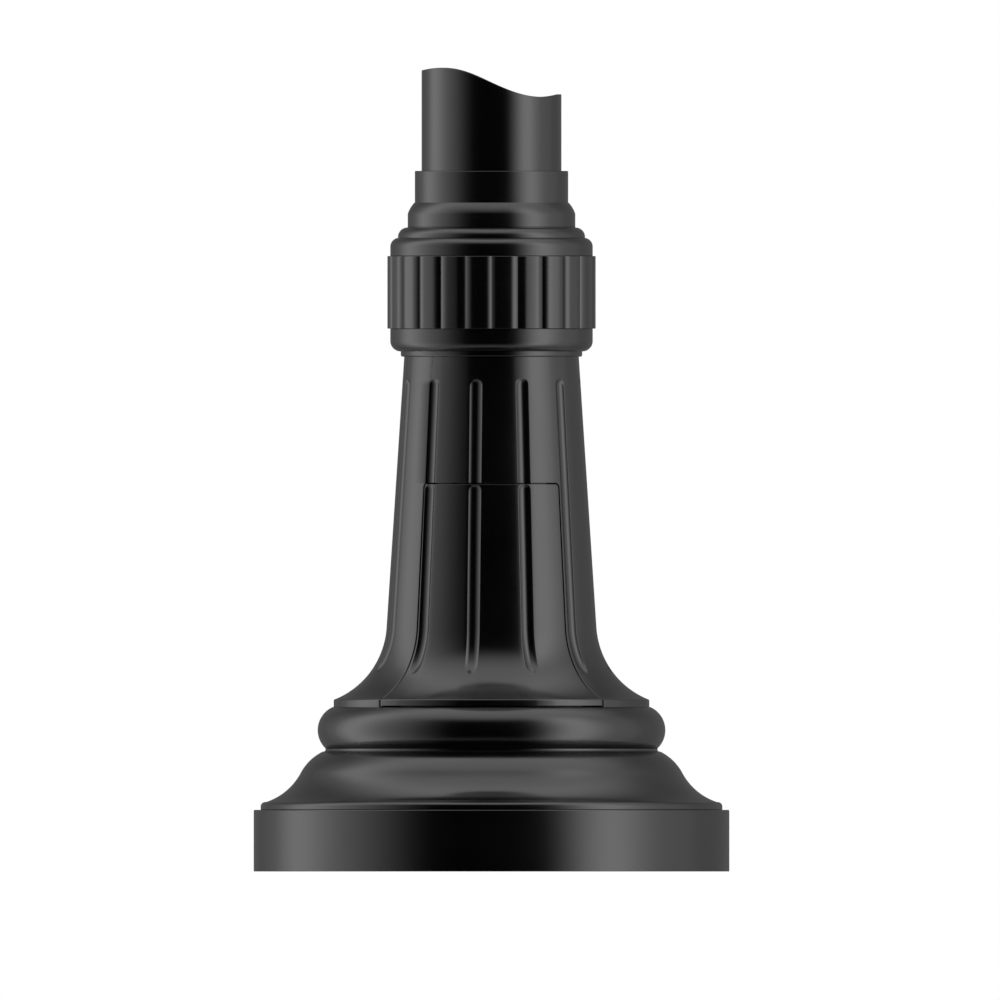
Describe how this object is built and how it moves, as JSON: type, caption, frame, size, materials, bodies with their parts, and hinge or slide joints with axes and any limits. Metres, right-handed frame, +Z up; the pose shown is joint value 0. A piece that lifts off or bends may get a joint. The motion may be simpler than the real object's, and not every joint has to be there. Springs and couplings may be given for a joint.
{
  "type": "street clock post base",
  "caption": "Round ornamental black post base for a street clock, stepped castings over a pole, with a flush lift-off access door.",
  "frame": {"origin": "centre of the foot, on the ground under the pole's axis", "axes": "+Z up along the pole; the access door faces -Y; +X to the right when looking at the door"},
  "size_m": [0.432, 0.432, 0.73],
  "materials": {
    "casting_paint": "semi-gloss black paint over a fine cast surface",
    "pole_paint": "semi-gloss black paint over smooth tube",
    "galvanised_steel": "hot-dip galvanised, dull spangle",
    "zinc_fastener": "bright zinc plate",
    "gasket_rubber": "matte closed-cell foam",
    "board_laminate": "matte phenolic laminate",
    "moulded_white": "satin moulding",
    "fuse_black": "fine-textured moulding",
    "fuse_ceramic": "glazed ceramic",
    "brass": "turned brass"
  },
  "bodies": {
    "post": {"anchor_plate": "galvanised_steel", "pole_tube": "pole_paint", "foot_weld": "galvanised_steel", "gusset_plates": "galvanised_steel", "handhole_frame": "galvanised_steel", "plinth_ring": "casting_paint", "plinth_bolts": "zinc_fastener", "ogee_skirt": "casting_paint", "ogee_bolts": "zinc_fastener", "torus_ring": "casting_paint", "torus_bolts": "zinc_fastener", "fluted_shaft": "casting_paint", "door_gasket": "gasket_rubber", "spring_clips": "zinc_fastener", "collar_body": "casting_paint", "reeded_band": "casting_paint", "upper_collar": "casting_paint", "cap_moulding": "casting_paint", "pole_sleeve": "casting_paint", "sleeve_set_screws": "zinc_fastener", "collar_set_screws": "zinc_fastener", "backboard": "board_laminate", "board_spacers": "zinc_fastener", "board_bolts": "zinc_fastener", "terminal_block": "moulded_white", "terminal_screws": "brass", "fuse_base": "moulded_white", "earth_stud": "brass", "earth_nuts": "brass"},
    "door": {"access_door": "casting_paint", "door_studs": "zinc_fastener"},
    "fuse": {"fuse_carrier": "fuse_black", "fuse_cartridge": "fuse_ceramic"}
  },
  "joints": [
    {"name": "door_pull_off", "type": "slide", "parent": "post", "child": "door", "axis": [0, -1, 0], "range_m": [0, 0.25]},
    {"name": "fuse_pull", "type": "slide", "parent": "post", "child": "fuse", "axis": [0, -1, 0], "range_m": [0, 0.026]}
  ]
}
